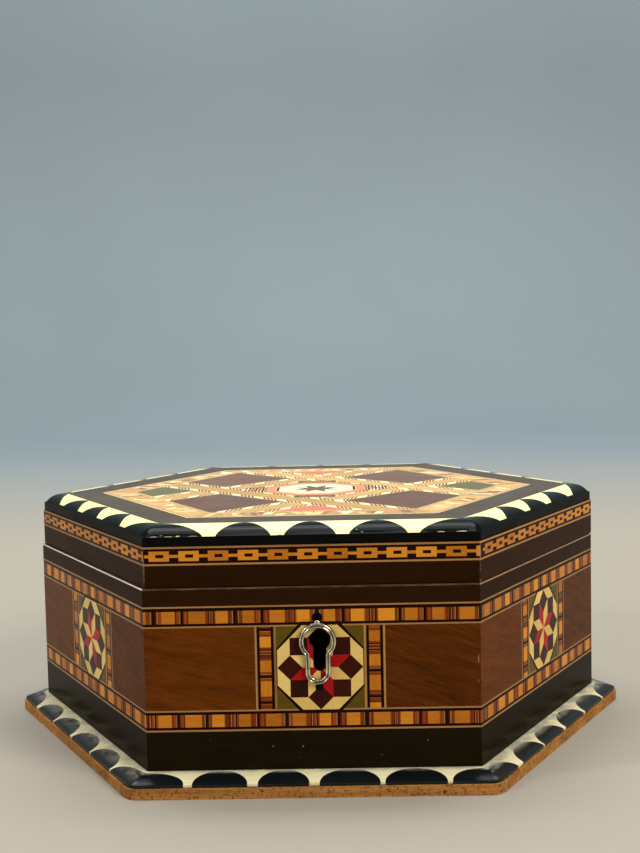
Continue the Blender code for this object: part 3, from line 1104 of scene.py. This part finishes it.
lid_marks.append(tile([(BAND_NEAR, 0), (0, BAND_NEAR), (-BAND_NEAR, 0), (0, -BAND_NEAR)], GOLD, 0))
for sign in (1, -1):
    for step in range(STRIPES):
        near, half = 19.0 + STRIPE_PITCH * step, 7.5 - 0.5 * step
        left, right = mirrored(sign, near, near + STRIPE_WIDE)
        lid_marks.append(slab(left, right, -half, half, RUST if step % 2 else INK, 90))
    low, high = mirrored(sign, 17.0, 24.0)
    for finish, half in ((STRAW, 8.2), (GREEN, 7.2), (TAN, 5.4)):
        lid_marks.append(slab(-half, half, low, high, finish, 90))
for out, finish in ((18.5, RUST), (18.1, CORAL), (14.6, STRAW), (13.9, RUST), (13.5, HOLLY)):
    lid_marks.append(tile(octagon(MIDDLE, out), finish, 0))
for sign in (1, -1):
    left, right = mirrored(sign, 13.4, 14.3)
    lid_marks.append(slab(left, right, -5.4, 5.4, INK, 90))
for k, finish in enumerate((SAGE, RED, GREEN, SAGE) * 2):
    turn = SLANT + 45 * k
    wing = [MIDDLE, ray(4.3, turn - SLANT), ray(9.8, turn), ray(4.3, turn + SLANT)]
    lid_marks.append(tile(wing, finish, turn))
print(len(lid_marks), "shapes with the medallion")

# %% [markdown]
# The border hides the ends of the bands, so it comes last: stringing, a row of slanting pieces in
# cream, tan and coral, and stringing again, mitred at the six corners. The maker filled that row
# from offcuts, so widths, slants and woods are drawn by lot here.

# %%
# The border
ROW_START, ROW_END = 1.85, 8.6
ROW_NEAR, ROW_FAR = FIELD_OUT + ROW_START, FIELD_OUT + ROW_END
FRAME_LINES = (
    (0.0, 0.6, STRAW), (0.6, 1.0, INK), (1.0, 1.6, STRAW), (1.6, ROW_START, RUST),
    (ROW_START, ROW_END, GOLD), (ROW_END, 8.85, RUST), (8.85, 9.4, STRAW), (9.4, 9.85, INK),
    (9.85, BORDER_WIDE, STRAW), (BORDER_WIDE, BORDER_WIDE + PANEL_OUT - INLAY_OUT, SLATE),
)
ROW_SPANS = ((ROW_NEAR, ROW_FAR), (ROW_NEAR, ROW_FAR), (ROW_NEAR, ROW_FAR - 2.2), (ROW_NEAR + 2.4, ROW_FAR))

for index in range(6):
    for near, far, finish in FRAME_LINES:
        a, b = FIELD_OUT + near, FIELD_OUT + far
        half_a, half_b = a * math.tan(HALF), b * math.tan(HALF)
        outline = ((-half_a, -a), (-half_b, -b), (half_b, -b), (half_a, -a))
        lid_marks.append(tile(turned(outline, index), finish, 60 * index))
    end = ROW_NEAR * math.tan(HALF)
    at = 1.5 - end
    while at + 6 < end:
        wide = chance.uniform(1.2, 3.4)
        slant = chance.choice((-2.2, -1.2, 1.4, 2.4))
        finish = chance.choice((HOLLY, STRAW, TAN, CORAL, STRAW))
        low, high = chance.choice(ROW_SPANS)
        outline = ((at, -low), (at + wide, -low), (at + wide + slant, -high), (at + slant, -high))
        lid_marks.append(tile(turned(outline, index), finish, 60 * index + 70))
        at += wide + chance.uniform(0.5, 1.4)
print(len(lid_marks), "shapes on the whole lid")

# %% [markdown]
# The real panel is a plain board with this sheet glued on. One solid does for both: the sheet is
# the top of the board, and the board's edges and underside are bare wood.

# %%
# The finished panel
bm = bmesh.new()
finishes = []
lay(bm, lid_marks, lambda x, y: Vector((x, y, LID_TOP)), finishes)
trim(bm, PANEL_OUT, PANEL_OUT)
thicken(bm, bm.faces[:], lambda co: Vector((co.x, co.y, LID_LOW)))
recolour([face for face in bm.faces if face.normal.z < 0.5], PLAIN, finishes)
settle(bm, LID_SHIFT.xy)
shown(bm, "lid_marquetry", finishes, ["lid_panel"])

# %% [markdown]
# ## The bare boards
#
# The measured boards stay as they are and only take a finish. They have no `grain` map of
# their own, so their recipe reads the place in the object instead. The bottom board, which
# stands out round the foot, is unvarnished, and its pores have filled with dirt.


# %%
# Finishes for the measured parts
DIRT, SHADE = (52, 26, 10), (8, 4, 3)
SHADE_WIDE = 0.3


def board(name, pale, dark, rough, turn=0.0, pits=0.0, nail=None):
    """Bare wood. pits is how much dirt its pores hold, nail a nail hole's (x, height, radius) in mm."""
    finish = Finish(name)
    here = finish.place()
    along = finish.node("VectorRotate", {"rotation_type": "Z_AXIS"}, {"Vector": here, "Angle": turn})
    fine = finish.noise(finish.scaled(along, 40, 900, 900), 1.0, 4.0, 0.65)
    broad = finish.noise(finish.scaled(along, 8, 90, 90), 1.0, 3.0)
    large = finish.noise(here, 800.0, 3.0, 0.65).between(0.57, 0.68)
    small = finish.noise(here, 1300.0, 2.0).between(0.56, 0.7)
    pores = ((large + small) * pits).clamped()
    share = fine.between(0.3, 0.7) * 0.5 + broad.between(0.35, 0.65) * 0.5
    tint = finish.mix(share, colour(*pale), colour(*dark))
    tint = finish.mix(pores, tint, colour(*DIRT))
    if nail:
        x, height, radius = nail
        flat = finish.scaled(here, 1, 0, 1)
        centre = (x * MM, 0, height * MM)
        away = finish.node("VectorMath", {"operation": "DISTANCE"}, {0: flat, 1: centre}, output=1)
        tint = finish.mix(away.between(radius * MM, (radius + SHADE_WIDE) * MM), colour(*SHADE), tint)
    finish.surface(
        Base_Color=tint,
        Roughness=fine * 0.2 + rough,
        Specular_IOR_Level=0.2,
        Normal=finish.node("Bump", {}, {"Strength": 0.5, "Distance": 0.0003, "Height": fine - pores}),
    )
    return finish.material


def dress(node, material):
    mesh = nodes[node].data
    mesh.materials.clear()
    mesh.materials.append(material)


def dress_inside(node, name, index, nail=None):
    """One of the boards behind the veneer, its grain running along its own side."""
    material = board(name, (120, 68, 32), (66, 34, 14), 0.45, -index * TURN, nail=nail)
    dress(node, material)


dress("base_board", board("worn_board", (206, 142, 70), (124, 72, 26), 0.6, pits=0.75))
for index, side in enumerate(SIDES):
    nail = None if index else (*NAIL_MIDDLE, NAIL_RADIUS + SHADE_WIDE)
    dress_inside(f"wall_{side}", f"wall_board_{side}", index, nail)
    dress_inside(f"lid_rail_{side}", f"lid_board_{side}", index)
print("measured parts dressed:", sum(1 for node in nodes.values() if not node.hide_render))

# %% [markdown]
# ## The keyhole rim
#
# The rim is a strip of plated metal bent round the keyhole, with a groove pressed along it. A flat
# band would mirror one thing only and look like paint. The groove makes it mirror the lamps and
# the dark room in turn, and those thin bright lines are what says metal. The groove also keeps its
# dirt, and the edges, most of all the outer flank, carry a painted dark reflection; both are held
# in one grime number that is read by the metal.

# %%
# The rim's centre line, from the measured rim
rim_low, rim_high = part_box("escutcheon")
RIM_X = (rim_low.x + rim_high.x) / 2 / MM
RIM_HEAD = (rim_high.x - rim_low.x) / 2 / MM
RIM_Z = rim_high.z / MM - RIM_HEAD
around = [
    Vector((vert.co.x / MM - RIM_X, vert.co.z / MM - RIM_Z)) for vert in nodes["escutcheon"].data.vertices
]
RIM_WIDE = RIM_HEAD - min(point.length for point in around if point.y > 0)
RIM_STEM = max(abs(point.x) for point in around if point.y < -RIM_HEAD)
RIM_FOOT = rim_low.z / MM - RIM_Z
RIM_BACK, RIM_THICK = rim_high.y / MM, (rim_high.y - rim_low.y) / MM
HEAD_STEPS, FOOT_STEPS = 40, 16


def rim_centre_line():
    head, stem = RIM_HEAD - RIM_WIDE / 2, RIM_STEM - RIM_WIDE / 2
    shoulder = math.degrees(math.asin(stem / head))
    foot = RIM_FOOT + RIM_WIDE / 2 + stem
    sweep = 360 - 2 * shoulder
    line = [ray(head, -90 + shoulder + sweep * step / HEAD_STEPS) for step in range(HEAD_STEPS + 1)]
    line += [Vector((0, foot)) + ray(stem, 180 + 180 * step / FOOT_STEPS) for step in range(FOOT_STEPS + 1)]
    return line


print("rim", round(RIM_WIDE, 2), "mm wide, head", round(RIM_HEAD, 2), "stem", round(RIM_STEM, 2))


# %%
# Plated metal, dark with dirt in its groove and with a painted dark reflection along its edges
# The dark olive is dirt, and at the edges and on the outer flank a painted dark reflection.
NICKEL, GRIME_AND_DARK_REFLECTION = (236, 230, 204), (74, 66, 36)


def nickel():
    finish = Finish("worn_nickel")
    blotch = finish.noise(finish.place(), 700.0, 4.0, 0.6).between(0.45, 0.75)
    # Dirt blotches plus the painted dark reflection held in the grime number.
    dirt_and_dark_reflection = (blotch * 0.5 + finish.attribute("grime_and_dark_reflection")).clamped()
    finish.surface(
        Base_Color=finish.mix(dirt_and_dark_reflection, colour(*NICKEL), colour(*GRIME_AND_DARK_REFLECTION)),
        Roughness=dirt_and_dark_reflection * 0.25 + 0.07,
        Metallic=1.0,
    )
    return finish.material


print("metal ready")

# %% [markdown]
# The strip's cross-section is drawn once, as (place across, height, grime), set up at every point
# of the centre line, and each is joined to the next. Its grime is dirt in the groove and a painted
# dark reflection at the edges and up the outer flank. A small nib of solder closes the top.

# %%
# The rim itself
PROFILE = (
    (0.5, 0.0, 1.0), (0.5, 0.5, 0.8), (0.45, 0.8, 0.3), (0.32, 0.98, 0.0), (0.18, 0.95, 0.1),
    (0.03, 0.6, 1.0), (-0.12, 0.85, 0.4), (-0.27, 1.0, 0.0), (-0.4, 0.94, 0.0), (-0.48, 0.7, 0.2),
    (-0.5, 0.0, 1.0),
)
NIB_SIZE = Vector((0.95, 0.5, 0.6))
NIB_PLACE = Vector((RIM_X, RIM_BACK - 0.45 * RIM_THICK, RIM_Z + RIM_HEAD + 0.15))

bm = bmesh.new()
grime_and_dark_reflection_of = bm.verts.layers.float.new("grime_and_dark_reflection")
line = rim_centre_line()
loops = []
for before, here, after in zip(line[-1:] + line[:-1], line, line[1:] + line[:1]):
    out = Vector(((after - before).y, -(after - before).x)).normalized()
    loop = []
    for across, height, grime_and_dark_reflection in PROFILE:
        spot = here + out * across * RIM_WIDE
        vert = bm.verts.new(Vector((RIM_X + spot.x, RIM_BACK - height * RIM_THICK, RIM_Z + spot.y)) * MM)
        vert[grime_and_dark_reflection_of] = grime_and_dark_reflection
        loop.append(vert)
    loops.append(loop)
for loop, following in zip(loops, loops[1:] + loops[:1]):
    for index, vert in enumerate(loop):
        nxt = (index + 1) % len(loop)
        bm.faces.new((vert, loop[nxt], following[nxt], following[index]))
nib = Matrix.LocRotScale(NIB_PLACE * MM, None, NIB_SIZE * MM)
bmesh.ops.create_uvsphere(bm, u_segments=16, v_segments=10, radius=1.0, matrix=nib)
bmesh.ops.recalc_face_normals(bm, faces=bm.faces)
rim = shown(bm, "keyhole_rim", [nickel()], ["escutcheon"])
rim.data.shade_smooth()

# %% [markdown]
# ## Floor, light and camera
#
# The stage is a pale floor that sweeps up into a grey wall, as in a photographer's studio. A flat
# plane would end in a hard horizon, and the varnish would mirror the empty world behind it. The
# curve is drawn in profile and pulled out sideways.


# %%
# A sweep of pale floor
SWEEP_FRONT, SWEEP_BACK, SWEEP_ROUND, SWEEP_HIGH, SWEEP_HALF = -3, 1.2, 0.6, 4.0, 4
FLOOR_TINTS = (150, 142, 127), (156, 148, 134)
WALL_TINTS = (116, 127, 131), (126, 137, 141)


def stage_material():
    finish = Finish("pale_sweep")
    here = finish.place()
    away = finish.node("VectorMath", {"operation": "DOT_PRODUCT"}, {0: here, 1: (0, 1, 0)}, output=1)
    cloud = finish.noise(here, 3.0, 2.0)
    floor, wall = [
        finish.mix(cloud, colour(*first), colour(*second)) for first, second in (FLOOR_TINTS, WALL_TINTS)
    ]
    finish.surface(Base_Color=finish.mix(away.between(0.35, 0.95), floor, wall), Roughness=0.75)
    return finish.material


bm = bmesh.new()
line = [(SWEEP_FRONT, 0), (SWEEP_BACK, 0)]
for angle in range(10, 91, 10):
    across, up = math.sin(math.radians(angle)), 1 - math.cos(math.radians(angle))
    line.append((SWEEP_BACK + SWEEP_ROUND * across, SWEEP_ROUND * up))
line.append((SWEEP_BACK + SWEEP_ROUND, SWEEP_HIGH))
verts = [bm.verts.new((-SWEEP_HALF, y, z)) for y, z in line]
edges = [bm.edges.new(pair) for pair in zip(verts, verts[1:])]
grown = bmesh.ops.extrude_edge_only(bm, edges=edges)["geom"]
far_side = [item for item in grown if isinstance(item, bmesh.types.BMVert)]
bmesh.ops.translate(bm, vec=(2 * SWEEP_HALF, 0, 0), verts=far_side)
bmesh.ops.recalc_face_normals(bm, faces=bm.faces)
mesh = bpy.data.meshes.new("sweep")
bm.to_mesh(mesh)
bm.free()
mesh.materials.append(stage_material())
mesh.shade_smooth()
sweep = bpy.data.objects.new("sweep", mesh)
bpy.context.scene.collection.objects.link(sweep)
print("sweep of", len(mesh.polygons), "faces")

# %% [markdown]
# Varnish shows its lamps, so their size matters as much as their strength. A large lamp stands at
# the right like a window, a weaker one fills in from the left, and one hangs above. Another only
# washes the wall. Two small ones put the sparks on the metal and on the lacquer's edges.

# %%
# Soft light
LAMPS = {
    "window": ((1.2, -1.1, 1.25), (0, 0, 0.04), (0.5, 0.7), 24, (1.0, 0.96, 0.9)),
    "fill": ((-1.5, -1.0, 1.0), (0, 0, 0.04), (0.9, 0.9), 7, (0.95, 0.98, 1.0)),
    "ceiling": ((0.0, 0.5, 2.0), (0, 0.1, 0), (2.2, 1.6), 46, (0.97, 0.98, 1.0)),
    "backdrop_wash": ((0.0, 0.6, 2.2), (0, 1.8, 0.6), (2.6, 0.6), 30, (0.96, 1.0, 0.99)),
    "glint_left": ((-0.9, -0.42, 0.75), (0, 0, 0.06), (0.07, 0.07), 3.0, (1.0, 1.0, 1.0)),
    "glint_right": ((0.9, -0.6, 0.8), (0, 0, 0.06), (0.06, 0.06), 1.0, (1.0, 1.0, 1.0)),
}
SKY, SKY_STRENGTH = (0.66, 0.72, 0.78, 1), 0.14

for name, (place, aim, size, power, tint) in LAMPS.items():
    data = bpy.data.lights.new(name, "AREA")
    data.shape = "RECTANGLE"
    data.size, data.size_y = size
    data.energy = power
    data.color = tint
    light = bpy.data.objects.new(name, data)
    light.location = place
    light.rotation_euler = (Vector(aim) - Vector(place)).to_track_quat("-Z", "Y").to_euler()
    bpy.context.scene.collection.objects.link(light)
world = bpy.data.worlds.new("studio")
bpy.context.scene.world = world
world.use_nodes = True
background = world.node_tree.nodes["Background"]
background.inputs["Color"].default_value = SKY
background.inputs["Strength"].default_value = SKY_STRENGTH
print(len(LAMPS), "lamps and a dim sky")

# %% [markdown]
# The camera's place, its three angles and its field of view were worked out beforehand from the
# box's corners in the photograph. Angles alone would do, but a matrix built from three directions
# shows plainly which way the camera looks.

# %%
# The camera at the photograph's place
YAW, TILT, ROLL = math.radians(-0.946), math.radians(4.227), math.radians(-1.234)
CAMERA_PLACE = (0.00983, -0.45067, 0.1354)
FOCAL_PIXELS, PICTURE_PIXELS, SENSOR = 1244.1, 853, 36.0

ahead = Vector((math.sin(YAW) * math.cos(TILT), math.cos(YAW) * math.cos(TILT), -math.sin(TILT)))
right = Vector((math.cos(YAW), -math.sin(YAW), 0))
above = right.cross(ahead)
level_right = right * math.cos(ROLL) + above * math.sin(ROLL)
level_up = above * math.cos(ROLL) - right * math.sin(ROLL)
data = bpy.data.cameras.new("camera")
data.sensor_fit = "VERTICAL"
data.sensor_height = SENSOR
data.lens = FOCAL_PIXELS * SENSOR / PICTURE_PIXELS
data.clip_start = 0.01
camera = bpy.data.objects.new("camera", data)
axes = Matrix((level_right, level_up, -ahead)).transposed()
camera.matrix_world = Matrix.Translation(CAMERA_PLACE) @ axes.to_4x4()
bpy.context.scene.collection.objects.link(camera)
bpy.context.scene.camera = camera
bpy.context.scene.view_settings.view_transform = "Standard"
print("camera", [round(value, 3) for value in camera.matrix_world.translation])
